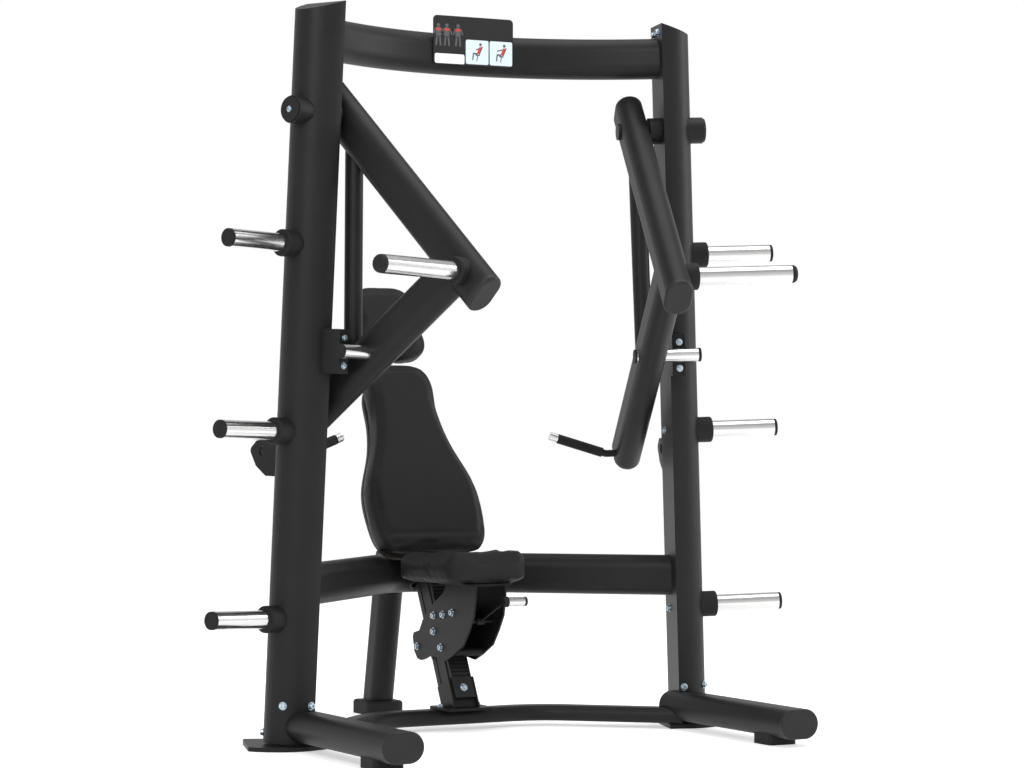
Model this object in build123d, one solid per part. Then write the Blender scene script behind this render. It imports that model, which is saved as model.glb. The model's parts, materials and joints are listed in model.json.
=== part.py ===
from build123d import *
import math
import os

os.makedirs("parts", exist_ok=True)

# Chest press machine, millimetres, +Z up.  -Y is the side the user faces, +X is the user's left.
# The row origin is on the floor, midway between the foremost and rearmost points.
ROW_SHIFT_Y = -88.2

# columns: D-section tubes with the flat side facing in, turned out and leaning
COLUMN_X = 605.0
COLUMN_TURN = 19.2
COLUMN_LEAN_IN = 1.87
COLUMN_LEAN_FRONT = 1.62
COLUMN_CHORD = 152.0
COLUMN_BULGE = 92.0
COLUMN_WALL = 4.0
COLUMN_BOTTOM = 15.0
COLUMN_TOP = 2030.0
COLUMN_TOP_SLOPE = 18.6

# flat oval tube shared by the beams, the feet and the arms
TUBE_DEEP = 117.0
TUBE_WIDE = 79.0
TUBE_WALL = 3.0

# storage and work pegs
PEG_R = 25.0
PEG_ROOT_R = 24.5
PEG_WALL = 3.0
PEG_END = 318.0
COLLAR_R = 37.0
COLLAR_OUT = 132.0
PEG_HEIGHTS = (350.0, 857.0, 1364.0)

# arm pivot, given in the column's own frame: outward, backward, up
PIVOT_B = -10.0
PIVOT_C = 1724.0
HOUSING_R = 38.0
HOUSING_BORE = 26.0
SHAFT_R = 15.0
BUSHING_BORE = 15.05
HOUSING_IN = -34.0
HOUSING_OUT = 126.0
ARM_A = -78.0

# arm triangle in the arm plane: backward, up
ELBOW = (-473.0, 1314.0)
UPPER_ANGLE = 41.3
UPPER_TOP = -84.0
UPPER_END = 724.0
LOWER_ANGLE = 37.2
LOWER_END = 864.0
WORK_PEG = (-507.0, 1297.0)
WORK_PEG_END = 252.0
STOP_PEG = (-175.3, 1078.0)
STOP_PEG_R = 19.0

# back rest and seat share one lean
LEAN = 26.5
PAD_THICK = 84.0
PAD_FACE_Y = 440.0
PAD_FACE_Z = 760.0
POST_FACE_Y = 208.0
POST_FACE_Z = 209.0
POST_WIDE = 70.0
POST_DEEP = 85.0
PLATE_X = 50.0


def column_plane():
    turn = math.radians(COLUMN_TURN)
    lean = math.radians(COLUMN_LEAN_IN)
    front = math.radians(COLUMN_LEAN_FRONT)
    out = Vector(math.cos(turn), -math.sin(turn), 0)
    back = Vector(math.sin(turn), math.cos(turn), 0)
    up = Vector(0, 0, 1)
    axis = up * math.cos(lean) - out * math.sin(lean)
    across = out * math.cos(lean) + up * math.sin(lean)
    axis = axis * math.cos(front) - back * math.sin(front)
    return Plane(origin=(COLUMN_X, 0, 0), x_dir=across, z_dir=axis)


SIDE = column_plane()


def on_side(*solids):
    """Solids drawn in the right column's frame, brought into the object's frame."""
    return [SIDE * s for s in solids]


def both_sides(*solids):
    right = on_side(*solids)
    return right + [s.mirror(Plane.YZ) for s in right]


def left_of(solids):
    return [s.mirror(Plane.YZ) for s in solids]


def save(name, *solids):
    flat = []
    for item in solids:
        flat.extend(item.solids() if hasattr(item, "solids") else item)
    moved = [s.moved(Location((0, ROW_SHIFT_Y, 0))) for s in flat]
    body = moved[0] if len(moved) == 1 else Compound(children=moved)
    export_step(body, f"parts/{name}.step")


def save_all(name, solids):
    save(name, Compound(children=list(solids)))


def rod(start, end, radius):
    a = Vector(*start)
    b = Vector(*end)
    return extrude(Plane(origin=a, z_dir=b - a) * Circle(radius), (b - a).length)


def pipe(start, end, radius, wall):
    return rod(start, end, radius) - rod(start, end, radius - wall)


def oval_bar(start, end, deep, wide, deep_dir):
    """Flat oval bar between two points, its long width along deep_dir."""
    a = Vector(*start)
    b = Vector(*end)
    plane = Plane(origin=a, x_dir=Vector(*deep_dir), z_dir=b - a)
    return extrude(plane * SlotOverall(deep, wide), (b - a).length)


def oval_tube(start, end, deep_dir, deep=TUBE_DEEP, wide=TUBE_WIDE, wall=TUBE_WALL):
    outer = oval_bar(start, end, deep, wide, deep_dir)
    return outer - oval_bar(start, end, deep - 2 * wall, wide - 2 * wall, deep_dir)


def swept_oval(path, deep, wide, wall, upright=True):
    """Flat oval tube along a plan curve, its long width upright or lying flat."""
    deep_dir = Vector(0, 0, 1) if upright else Vector(0, 0, 1).cross(path % 0)
    section = Plane(origin=path @ 0, x_dir=deep_dir, z_dir=path % 0)
    outer = sweep(section * SlotOverall(deep, wide), path=path)
    inner = sweep(section * SlotOverall(deep - 2 * wall, wide - 2 * wall), path=path)
    return outer - inner


def bolt(seat, direction, head_r=8.5, head=7.0, socket_r=4.0):
    """Domed hex socket bolt head standing on a surface point."""
    plane = Plane(origin=seat, z_dir=direction)
    washer = extrude(plane * Circle(head_r + 2.5), 1.6)
    cap = extrude(plane.offset(1.6) * Circle(head_r), head)
    cap = fillet(cap.faces().sort_by(Axis(seat, direction))[-1].edges(), 2.0)
    cap -= extrude(plane.offset(1.6 + head - 4.0) * RegularPolygon(socket_r, 6), 5.0)
    return washer + cap


# ---------------------------------------------------------------- columns and base

def half_ellipse(bulge, chord, inset):
    keep = Pos(inset + 150, 0) * Rectangle(300, 400)
    return Ellipse(bulge, chord / 2) & keep


def column_body(bulge, chord, inset, low, high):
    bar = extrude(Pos(0, 0, low) * half_ellipse(bulge, chord, inset), high + 60 - low)
    cut = Plane(origin=(0, 0, high), z_dir=(math.sin(math.radians(COLUMN_TOP_SLOPE)), 0,
                                             math.cos(math.radians(COLUMN_TOP_SLOPE))))
    return split(bar, bisect_by=cut, keep=Keep.BOTTOM)


def column():
    shell = column_body(COLUMN_BULGE, COLUMN_CHORD, 0, COLUMN_BOTTOM, COLUMN_TOP)
    room = column_body(COLUMN_BULGE - COLUMN_WALL, COLUMN_CHORD - 2 * COLUMN_WALL, COLUMN_WALL,
                       COLUMN_BOTTOM - 5, COLUMN_TOP - COLUMN_WALL)
    shell -= room
    shell -= rod((-20, PIVOT_B, PIVOT_C), (150, PIVOT_B, PIVOT_C), HOUSING_R)
    for height in PEG_HEIGHTS:
        shell -= rod((20, 0, height), (150, 0, height), PEG_ROOT_R)
    return shell


def column_solid():
    return column_body(COLUMN_BULGE, COLUMN_CHORD, 0, COLUMN_BOTTOM, COLUMN_TOP)


RIGHT_COLUMN = SIDE * column()
RIGHT_COLUMN_FULL = SIDE * column_solid()
LEFT_COLUMN_FULL = RIGHT_COLUMN_FULL.mirror(Plane.YZ)

PLATE_THICK = 12.0
FOOT_X = 600.0
FOOT_FRONT = -650.0
FOOT_BACK = -20.0
FOOT_Z = 63.0
FOOT_WIDE = 120.0
FOOT_TALL = 82.0
PAD_Y = -535.0


def base_plate():
    """Lens plate under the column, its curved rim outward."""
    edge = ThreePointArc((40, -98), (115, -54), (150, 20))
    rest = Polyline((150, 20), (42, 160), (20, 182), (-34, 130), (-34, -98), (40, -98))
    face = make_face([edge, rest])
    turned = Plane(origin=(COLUMN_X, 0, 0), x_dir=(math.cos(math.radians(COLUMN_TURN)),
                                                     -math.sin(math.radians(COLUMN_TURN)), 0))
    return extrude(turned * face, PLATE_THICK)


def foot_bar():
    tube = oval_tube((FOOT_X, FOOT_FRONT, FOOT_Z), (FOOT_X, FOOT_BACK, FOOT_Z), (1, 0, 0),
                     FOOT_WIDE, FOOT_TALL)
    return tube - RIGHT_COLUMN_FULL - base_plate()


def foot_cap():
    """Domed end cap closing the front of a foot bar."""
    cap = oval_bar((FOOT_X, FOOT_FRONT - 12, FOOT_Z), (FOOT_X, FOOT_FRONT, FOOT_Z),
                   FOOT_WIDE, FOOT_TALL, (1, 0, 0))
    rim = cap.faces().sort_by(Axis.Y)[0].edges()
    return fillet(rim, 6)


def foot_pad():
    block = extrude(Pos(FOOT_X, PAD_Y, 0) * RectangleRounded(88, 92, 14), 30)
    tube = oval_bar((FOOT_X, FOOT_FRONT, FOOT_Z), (FOOT_X, FOOT_BACK, FOOT_Z),
                    FOOT_WIDE, FOOT_TALL, (1, 0, 0))
    return block - tube


BAR_R = 250.0
BAR_MID = 163.0
BAR_Y = 210.0
BAR_Z = 37.5


def vee_path(mid, radius, centre_y, leg_angle, leg_end_x, z):
    """Plan curve: a straight middle, an arc each side, then straight legs forward."""
    a = math.radians(leg_angle)
    bend_x = mid + radius * math.sin(a)
    bend_y = centre_y - radius * (1 - math.cos(a))
    half_a = a / 2
    knee = (mid + radius * math.sin(half_a), centre_y - radius * (1 - math.cos(half_a)))
    end_y = bend_y - (leg_end_x - bend_x) * math.tan(a)
    right = [Line((bend_x, bend_y, z), (leg_end_x, end_y, z)),
             ThreePointArc((mid, centre_y, z), (knee[0], knee[1], z), (bend_x, bend_y, z))]
    left = [ThreePointArc((-bend_x, bend_y, z), (-knee[0], knee[1], z), (-mid, centre_y, z)),
            Line((-leg_end_x, end_y, z), (-bend_x, bend_y, z))]
    middle = [Line((-mid, centre_y, z), (mid, centre_y, z))]
    return Wire(left + middle + right)


def floor_bar():
    path = vee_path(BAR_MID, BAR_R, BAR_Y, 42.0, 585.0, BAR_Z)
    bar = swept_oval(path, 80.0, 45.0, TUBE_WALL, upright=False)
    foot = oval_bar((FOOT_X, FOOT_FRONT, FOOT_Z), (FOOT_X, FOOT_BACK, FOOT_Z),
                    FOOT_WIDE, FOOT_TALL, (1, 0, 0))
    for neighbour in (foot, RIGHT_COLUMN_FULL, base_plate()):
        bar = bar - neighbour - neighbour.mirror(Plane.YZ)
    return biggest(bar)


def biggest(shape):
    return max(shape.solids(), key=lambda s: s.volume)


LOWER_Z = 436.0
LOWER_Y = 505.0
LOWER_END_X = 612.0


def lower_crossbeam():
    path = vee_path(18.0, 130.0, LOWER_Y, 42.5, LOWER_END_X, LOWER_Z)
    beam = swept_oval(path, TUBE_DEEP, TUBE_WIDE, TUBE_WALL)
    return biggest(beam - RIGHT_COLUMN_FULL - LEFT_COLUMN_FULL)


def lower_crossbeam_full():
    path = vee_path(18.0, 130.0, LOWER_Y, 42.5, LOWER_END_X, LOWER_Z)
    section = Plane(origin=path @ 0, x_dir=(0, 0, 1), z_dir=path % 0)
    return sweep(section * SlotOverall(TUBE_DEEP, TUBE_WIDE), path=path)


TOP_Z = 1932.0
TOP_Y = 166.0
TOP_BOW_R = 831.0
TOP_END_X = 590.0


def top_arc():
    """Bowed line of the top beam, its ends inside the columns."""
    end_y = TOP_Y - TOP_BOW_R + math.sqrt(TOP_BOW_R ** 2 - TOP_END_X ** 2)
    return ThreePointArc((-TOP_END_X, end_y, TOP_Z), (0, TOP_Y, TOP_Z), (TOP_END_X, end_y, TOP_Z))


def top_crossbeam():
    beam = swept_oval(Wire([top_arc()]), TUBE_DEEP, TUBE_WIDE, TUBE_WALL)
    return biggest(beam - RIGHT_COLUMN_FULL - LEFT_COLUMN_FULL)


LEG_TOP = (0, 643, 470)
LEG_FOOT = (0, 727, 40)


def rear_leg():
    tube = oval_tube(LEG_FOOT, LEG_TOP, (0, 1, 0.19), 108.0, 76.0)
    cap = oval_bar((0, 642.0, 470), (0, 639.0, 482), 108.0, 76.0, (0, 1, 0.19))
    link = extrude(Plane(origin=(0, LOWER_Y + 20, 440), z_dir=(0, 1, 0)) *
                   RectangleRounded(64, 84, 12), 84)
    link -= lower_crossbeam_full()
    link -= oval_bar(LEG_FOOT, LEG_TOP, 108.0, 76.0, (0, 1, 0.19))
    tube -= extrude(Pos(0, LEG_FOOT[1], 0) * Rectangle(300, 300), 40)
    return [tube + cap, biggest(link)]


def rear_foot():
    cup = extrude(Pos(0, 728, 0) * RectangleRounded(118, 144, 30), 40)
    return chamfer(cup.faces().sort_by(Axis.Z)[-1].edges(), 5)


# ---------------------------------------------------------------- back rest

BACK = Vector(0, math.cos(math.radians(LEAN)), -math.sin(math.radians(LEAN)))
UP_PAD = Vector(0, math.sin(math.radians(LEAN)), math.cos(math.radians(LEAN)))
FACE_POINT = Vector(0, PAD_FACE_Y, PAD_FACE_Z)


def pad_plane(depth):
    """Plane parallel to the back rest, depth behind its face; x across, y up the pad."""
    return Plane(origin=FACE_POINT + BACK * depth, x_dir=(1, 0, 0), z_dir=BACK * -1)


# outline in the pad plane, zero at the height of FACE_POINT: half width, up
BACK_OUTLINE = ((128, -292), (166, -262), (186, -190), (190, -120), (184, -62), (160, 10),
                (136, 72), (121, 130), (113, 200), (106, 290), (90, 320))
BACK_TOP = 343.0
BACK_BOTTOM = -296.0
HEAD_OUTLINE = ((72, 352), (108, 372), (119, 398), (114, 470), (102, 560), (84, 588))
HEAD_TOP = 604.0
HEAD_BOTTOM = 350.0


def outline_face(points, bottom, top):
    right = [(x, y) for x, y in points]
    left = [(-x, y) for x, y in reversed(points)]
    loop = [(0, bottom)] + right + [(0, top)] + left
    return make_face(Spline(*loop, periodic=True))


def back_pad():
    body = extrude(pad_plane(PAD_THICK) * outline_face(BACK_OUTLINE, BACK_BOTTOM, BACK_TOP), PAD_THICK)
    rim = body.faces().sort_by(Axis(FACE_POINT, BACK))[0].edges()
    beam_room = extrude(Pos(0, 492, 300) * Rectangle(800, 800), 197.5)
    return fillet(rim, 20) - beam_room


def head_pad():
    body = extrude(pad_plane(70) * outline_face(HEAD_OUTLINE, HEAD_BOTTOM, HEAD_TOP), 70)
    rim = body.faces().sort_by(Axis(FACE_POINT, BACK))[0].edges()
    return fillet(rim, 18)


BOARD = 12.0
SPINE_DEPTH = PAD_THICK + BOARD + 14.0


def pad_boards():
    back = extrude(pad_plane(PAD_THICK + BOARD) * scale(outline_face(BACK_OUTLINE, BACK_BOTTOM, BACK_TOP),
                                                        by=0.9), BOARD)
    head = extrude(pad_plane(70 + BOARD) * Pos(0, 475) * RectangleRounded(170, 190, 24), BOARD)
    return [back, head]


def pad_point(up, depth, across=0.0):
    return FACE_POINT + UP_PAD * up + BACK * depth + Vector(across, 0, 0)


def pad_spine():
    """Bent-back post behind the two pads with its welded cross plates."""
    start = pad_point(-326, SPINE_DEPTH + 32)
    end = pad_point(540, SPINE_DEPTH + 32)
    tube = oval_tube(tuple(start), tuple(end), (1, 0, 0), 84.0, 60.0)
    cap = oval_bar(tuple(end), tuple(end + UP_PAD * 8), 84.0, 60.0, (1, 0, 0))
    return [biggest(tube + cap - lower_crossbeam_full())] + pad_brackets()


def pad_brackets():
    """Cross plates that carry the two boards on the spine."""
    made = []
    for up, wide, front in ((-150, 200, PAD_THICK + BOARD), (180, 150, PAD_THICK + BOARD),
                            (475, 120, 70 + BOARD)):
        depth = SPINE_DEPTH + 2 - front
        plane = pad_plane(SPINE_DEPTH + 2)
        made.append(extrude(plane * Pos(0, up) * RectangleRounded(wide, 70, 10), depth))
    return made


# ---------------------------------------------------------------- placard

PLACARD = (256.0, 138.0)
PLACARD_Z = 1967.0
PLACARD_Y = TOP_Y - TUBE_WIDE / 2 - 11.0


def placard():
    """Thin plate on two stand-offs in front of the top beam."""
    plane = Plane(origin=(4, PLACARD_Y, PLACARD_Z), x_dir=(1, 0, 0), z_dir=(0, -1, 0))
    plate = extrude(plane * RectangleRounded(*PLACARD, 12), 3)
    for x in (-90, 98):
        plate += rod((x, PLACARD_Y, TOP_Z), (x, TOP_Y, TOP_Z), 7)
    arc = top_arc()
    section = Plane(origin=arc @ 0, x_dir=(0, 0, 1), z_dir=arc % 0)
    beam = sweep(section * SlotOverall(TUBE_DEEP, TUBE_WIDE), path=arc)
    return biggest(plate - beam)


# ---------------------------------------------------------------- pegs, stops and pivots on the columns

def stepped_peg(root, shoulder, end, place):
    slim = pipe((root, *place), (shoulder, *place), PEG_ROOT_R, PEG_WALL - 0.5)
    full = pipe((shoulder, *place), (end, *place), PEG_R, PEG_WALL)
    return slim + full


def storage_peg(height):
    """Tube of full size outside the collar, turned down where it passes through it."""
    return stepped_peg(26, COLLAR_OUT + 1, PEG_END - 1, (0, height))


def storage_collar(height):
    ring = pipe((40, 0, height), (COLLAR_OUT, 0, height), COLLAR_R, COLLAR_R - PEG_ROOT_R)
    ring = fillet(ring.faces().sort_by(Axis.X)[-1].edges().sort_by(SortBy.LENGTH)[-1], 5)
    return biggest(ring - column_body(COLUMN_BULGE, COLUMN_CHORD, 0, COLUMN_BOTTOM, COLUMN_TOP))


def peg_cap(height):
    disc = rod((PEG_END - 1, 0, height), (PEG_END + 8, 0, height), PEG_ROOT_R)
    disc = fillet(disc.faces().sort_by(Axis.X)[-1].edges(), 3)
    plug = rod((PEG_END - 18, 0, height), (PEG_END - 1, 0, height), PEG_R - PEG_WALL)
    return disc + plug


STOP_FACE_B = -140.0


def stop_block():
    """Steel block on the column's front edge, with a round buffer that catches the stop peg."""
    block = extrude(Pos(13, -99, 1018) * RectangleRounded(40, 82, 3), 120)
    block += rod((13, STOP_FACE_B, 1078), (13, STOP_PEG[0] + STOP_PEG_R + 0.3, 1078), 15)
    return block - column_body(COLUMN_BULGE, COLUMN_CHORD, 0, COLUMN_BOTTOM, COLUMN_TOP)


LUG_C = 790.0
LUG_THICK = 10.0
LUG_HOLE = (152.0, 799.0)
LUG_HOLE_R = 15.0


def lug_plate():
    """Drilled ear behind the column."""
    plane = Plane(origin=(14, 0, LUG_C), x_dir=(0, 1, 0), z_dir=(1, 0, 0))
    ear = make_face(Polyline((60, 39), (176, 39), (204, 12), (176, -32), (136, -58), (60, -58), (60, 39)))
    ear = fillet([v for v in ear.vertices() if v.X > 100], 14)
    plate = extrude(plane * ear, LUG_THICK)
    plate -= rod((0, *LUG_HOLE), (60, *LUG_HOLE), LUG_HOLE_R)
    return plate - column_body(COLUMN_BULGE, COLUMN_CHORD, 0, COLUMN_BOTTOM, COLUMN_TOP)


def pivot_housing():
    tube = pipe((HOUSING_IN, PIVOT_B, PIVOT_C), (HOUSING_OUT, PIVOT_B, PIVOT_C), HOUSING_R,
                HOUSING_R - HOUSING_BORE)
    rim = tube.faces().sort_by(Axis.X)[-1].edges().sort_by(SortBy.LENGTH)[-1]
    return fillet(rim, 3)


def pivot_bushings():
    spans = ((HOUSING_IN + 2, HOUSING_IN + 32), (HOUSING_OUT - 34, HOUSING_OUT - 4))
    return [pipe((a, PIVOT_B, PIVOT_C), (b, PIVOT_B, PIVOT_C), HOUSING_BORE,
                 HOUSING_BORE - BUSHING_BORE) for a, b in spans]


# seat points of the socket bolts in the column frame, with the way each head faces
def column_surface(b, extra=0.0):
    """Point on the curved outside of the column at chord position b."""
    s = b / (COLUMN_CHORD / 2)
    return COLUMN_BULGE * math.sqrt(max(0.0, 1 - s * s)) + extra


def column_bolts():
    heads = []
    for b, c in ((-75, 120), (-35, 119), (53, 40)):
        a = column_surface(b)
        normal = (a / COLUMN_BULGE ** 2, b / (COLUMN_CHORD / 2) ** 2, 0)
        heads.append(bolt((a, b, c), normal))
    for b, c in ((22, 340), (22, 858), (-30, 2008), (30, 2004)):
        heads.append(bolt((0, b, c), (-1, 0, 0)))
    for c in (1040, 1115):
        heads.append(bolt((13, STOP_FACE_B, c), (0, -1, 0), 7.0, 5.0, 3.5))
    return heads


def pivot_bolt():
    return bolt((HOUSING_OUT + 4.5, PIVOT_B, PIVOT_C), (1, 0, 0), 6.0, 4.0, 3.0)


# ---------------------------------------------------------------- arms, drawn in the column frame

U_UP = (-math.cos(math.radians(UPPER_ANGLE)), -math.sin(math.radians(UPPER_ANGLE)))
U_LOW = (math.cos(math.radians(LOWER_ANGLE)), -math.sin(math.radians(LOWER_ANGLE)))


def along(origin, direction, distance, a=ARM_A):
    return (a, origin[0] + direction[0] * distance, origin[1] + direction[1] * distance)


def arm_oval(origin, direction, start, end, deep=TUBE_DEEP, wide=TUBE_WIDE):
    normal = (0, -direction[1], direction[0])
    return oval_bar(along(origin, direction, start), along(origin, direction, end), deep, wide, normal)


def arm_tube(origin, direction, start, end):
    inner = arm_oval(origin, direction, start - 1, end + 1, TUBE_DEEP - 6, TUBE_WIDE - 6)
    return arm_oval(origin, direction, start, end) - inner


PIVOT_BC = (PIVOT_B, PIVOT_C)


def shaft_hole(r):
    return rod((-150, PIVOT_B, PIVOT_C), (HOUSING_OUT, PIVOT_B, PIVOT_C), r)


def upper_tube():
    tube = arm_tube(PIVOT_BC, U_UP, UPPER_TOP, UPPER_END)
    tube -= shaft_hole(24)
    return tube - work_peg_space()


def work_peg_space():
    return rod((-110, *WORK_PEG), (0, *WORK_PEG), PEG_ROOT_R)


def lower_tube():
    tube = arm_tube(ELBOW, U_LOW, 0, LOWER_END)
    tube -= arm_oval(PIVOT_BC, U_UP, UPPER_TOP, UPPER_END)
    tube -= rod((-140, *STOP_PEG), (0, *STOP_PEG), STOP_PEG_R)
    return biggest(tube - rod((-300, *HANDLE_FOOT), (0, *HANDLE_FOOT), 11))


def arm_brace():
    """Upright tube between the pivot end of the upper tube and the middle of the lower tube."""
    tube = pipe((ARM_A, -47, 1740), (ARM_A, -86, 1000), 25, 3)
    tube -= arm_oval(PIVOT_BC, U_UP, UPPER_TOP - 20, UPPER_END)
    tube -= arm_oval(ELBOW, U_LOW, 0, LOWER_END)
    return biggest(tube)


def round_cap(origin, direction, start, end, rounding=9):
    cap = arm_oval(origin, direction, start, end)
    tip = along(origin, direction, end)
    rim = min(cap.faces(), key=lambda f: (f.center() - Vector(*tip)).length).edges()
    return fillet(rim, rounding)


def arm_caps():
    top = round_cap(PIVOT_BC, U_UP, UPPER_TOP, UPPER_TOP - 14)
    elbow = round_cap(PIVOT_BC, U_UP, UPPER_END, UPPER_END + 16)
    low = round_cap(ELBOW, U_LOW, LOWER_END, LOWER_END + 28, 24)
    return [top, elbow, low]


def pivot_shaft():
    """Shaft welded through the arm, with its inner boss and the outer retaining disc."""
    shaft = rod((-110, PIVOT_B, PIVOT_C), (HOUSING_OUT + 0.5, PIVOT_B, PIVOT_C), SHAFT_R)
    boss = rod((-125, PIVOT_B, PIVOT_C), (HOUSING_IN - 1, PIVOT_B, PIVOT_C), 24)
    disc = rod((HOUSING_OUT + 0.5, PIVOT_B, PIVOT_C), (HOUSING_OUT + 4.5, PIVOT_B, PIVOT_C), 34)
    return shaft + boss + disc


def work_peg():
    tube = stepped_peg(-104, -10, WORK_PEG_END - 1, WORK_PEG)
    pin = rod((WORK_PEG_END - 10, WORK_PEG[0], WORK_PEG[1]), (WORK_PEG_END - 10, WORK_PEG[0],
                                                             WORK_PEG[1] + 40), 3.5)
    return tube - pin


def work_collar():
    ring = pipe((-70, *WORK_PEG), (-11, *WORK_PEG), COLLAR_R, COLLAR_R - PEG_ROOT_R)
    ring = fillet(ring.faces().sort_by(Axis.X)[-1].edges().sort_by(SortBy.LENGTH)[-1], 5)
    ring -= arm_oval(PIVOT_BC, U_UP, UPPER_TOP, UPPER_END + 20)
    return biggest(ring - arm_oval(ELBOW, U_LOW, 0, LOWER_END))


def work_cap():
    dome = rod((WORK_PEG_END - 1, *WORK_PEG), (WORK_PEG_END + 16, *WORK_PEG), PEG_ROOT_R)
    dome = fillet(dome.faces().sort_by(Axis.X)[-1].edges(), 13)
    return dome + rod((WORK_PEG_END - 6, *WORK_PEG), (WORK_PEG_END - 1, *WORK_PEG), PEG_R - PEG_WALL)


def stop_peg():
    return rod((-120, *STOP_PEG), (58, *STOP_PEG), STOP_PEG_R)


def stop_caps():
    inner = rod((-126, *STOP_PEG), (-120, *STOP_PEG), STOP_PEG_R + 0.5)
    outer = rod((58, *STOP_PEG), (66, *STOP_PEG), STOP_PEG_R + 0.5)
    return [inner, outer]


HANDLE_FOOT = (190.0, 788.0)
HANDLE_BEND = (-146.0, 190.0, 788.0)
HANDLE_TIP = (-312.0, 190.0, 845.0)


def handle_at(t):
    return tuple(HANDLE_BEND[i] + (HANDLE_TIP[i] - HANDLE_BEND[i]) * t for i in range(3))


def handle_bar():
    path = Polyline((-90, *HANDLE_FOOT), HANDLE_BEND, handle_at(0.86))
    path = Wire(path.edges())
    bend = fillet_wire(path)
    bar = sweep(Plane(origin=bend @ 0, z_dir=bend % 0) * Circle(10.5), path=bend)
    end = rod(handle_at(0.86), handle_at(1.0), 13.0)
    for i in range(14):
        end -= flute(i * 360 / 14)
    return bar + end


def fillet_wire(path):
    return path.fillet_2d(25, [path.vertices().sort_by_distance(HANDLE_BEND)[0]])


def flute(angle):
    axis = Vector(*HANDLE_TIP) - Vector(*HANDLE_BEND)
    plane = Plane(origin=handle_at(0.88), z_dir=axis)
    a = math.radians(angle)
    return extrude(plane * Pos(13.6 * math.cos(a), 13.6 * math.sin(a)) * Circle(1.3), 40)


def grip():
    outer = rod(handle_at(0.0), handle_at(0.86), 14.0)
    path = fillet_wire(Wire(Polyline((-90, *HANDLE_FOOT), HANDLE_BEND, handle_at(0.86)).edges()))
    bar = sweep(Plane(origin=path @ 0, z_dir=path % 0) * Circle(10.5), path=path)
    return biggest(rod(handle_at(0.06), handle_at(0.86), 14.0) - bar)


# ---------------------------------------------------------------- seat post

def post_point(up, depth, across=0.0):
    base = Vector(0, POST_FACE_Y, POST_FACE_Z)
    return base + UP_PAD * up + BACK * depth + Vector(across, 0, 0)


POST_BOTTOM = -150.0
POST_TOP = 262.0


def post_slab(low, high, front, back, half_x, across=0.0):
    """Block aligned with the post: span along it, depths behind its front face, half width."""
    plane = Plane(origin=post_point(low, (front + back) / 2, across), x_dir=(1, 0, 0), z_dir=UP_PAD)
    return extrude(plane * Rectangle(2 * half_x, back - front), high - low)


def below(z):
    return extrude(Pos(0, 200, -100) * Rectangle(400, 600), 100 + z)


def seat_post():
    body = post_slab(POST_BOTTOM, POST_TOP, 14, POST_DEEP, POST_WIDE / 2)
    body -= post_slab(POST_BOTTOM - 5, POST_TOP - 4, 18, POST_DEEP - 4, POST_WIDE / 2 - 4)
    for side in (-1, 1):
        body -= post_slab(POST_BOTTOM - 5, POST_TOP + 5, 34, POST_DEEP - 20, 1.5, side * POST_WIDE / 2)
    ear = post_slab(POST_TOP - 12, POST_TOP, POST_DEEP, STRUT_DEPTH + 9, 12, STRUT_X)
    return biggest(body + ear - below(FOOT_PLATE_TOP) - strut_rod())


def post_rack():
    """Toothed strip down the front of the post, plain at its foot."""
    strip = post_slab(-126, POST_TOP, 0, 14, POST_WIDE / 2 - 3)
    tooth = -62
    while tooth < POST_TOP - 6:
        strip -= post_slab(tooth, tooth + 5, -1, 5, POST_WIDE / 2 - 8)
        tooth += 12
    return strip


FOOT_PLATE_LOW = BAR_Z + 22.5
FOOT_PLATE_TOP = FOOT_PLATE_LOW + 8.0


def post_foot():
    """Foot plate and clevis cheeks that hold the post on the floor bar."""
    foot = extrude(Pos(0, 178, FOOT_PLATE_LOW) * RectangleRounded(148, 122, 8), 8)
    for side in (-1, 1):
        cheek = post_slab(-160, -62, 4, POST_DEEP - 6, 3, side * (POST_WIDE / 2 + 3))
        foot += cheek - below(FOOT_PLATE_LOW + 1)
    return foot


def post_bolts():
    heads = [bolt((x, 192, FOOT_PLATE_TOP), (0, 0, 1)) for x in (-58, 58)]
    heads.append(bolt(post_point(-96, 0), BACK * -1, 9.0, 3.0, 4.0))
    return heads


STRUT_DEPTH = 102.0
STRUT_X = -20.0
STRUT_R = 5.5
BARREL_R = 10.0
BARREL_LOW = 70.0
BARREL_HIGH = 156.0
ROD_LOW = 160.0


def strut_rod():
    """Bright rod hanging from the top of the post into the carriage's gas cylinder."""
    return rod(post_point(ROD_LOW, STRUT_DEPTH, STRUT_X), post_point(POST_TOP - 1, STRUT_DEPTH, STRUT_X),
               STRUT_R)


def strut_barrel():
    return rod(post_point(BARREL_LOW, STRUT_DEPTH, STRUT_X), post_point(BARREL_HIGH, STRUT_DEPTH, STRUT_X),
               BARREL_R)


def strut_cylinder():
    bore = rod(post_point(BARREL_LOW + 6, STRUT_DEPTH, STRUT_X),
               post_point(BARREL_HIGH + 20, STRUT_DEPTH, STRUT_X), STRUT_R + 0.4)
    return strut_barrel() - bore


# ---------------------------------------------------------------- seat carriage

SEAT_PLATE_Z = 420.0
BOARD_Z = SEAT_PLATE_Z + 6.0
SEAT_LOW = BOARD_Z + 2.0
SEAT_HIGH = 514.0
SEAT_FRONT = -12.0
SEAT_BACK = 292.0
SEAT_FRONT_HALF = 124.0
SEAT_BACK_HALF = 178.0

# side plate outline: back, up
PLATE_OUTLINE = ((176, SEAT_PLATE_Z), (197, 393), (281, 348), (326, 309), (350, 276), (386, 268),
                 (392, 256), (382, 214), (362, 194), (340, 190), (318, 194), (277, 208), (227, 204),
                 (183, 199), (140, 216), (75, 249), (40, 292), (11, 336), (0, 392), (-2, SEAT_PLATE_Z))
PIN_Y = 66.0
PIN_Z = 318.0


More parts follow.
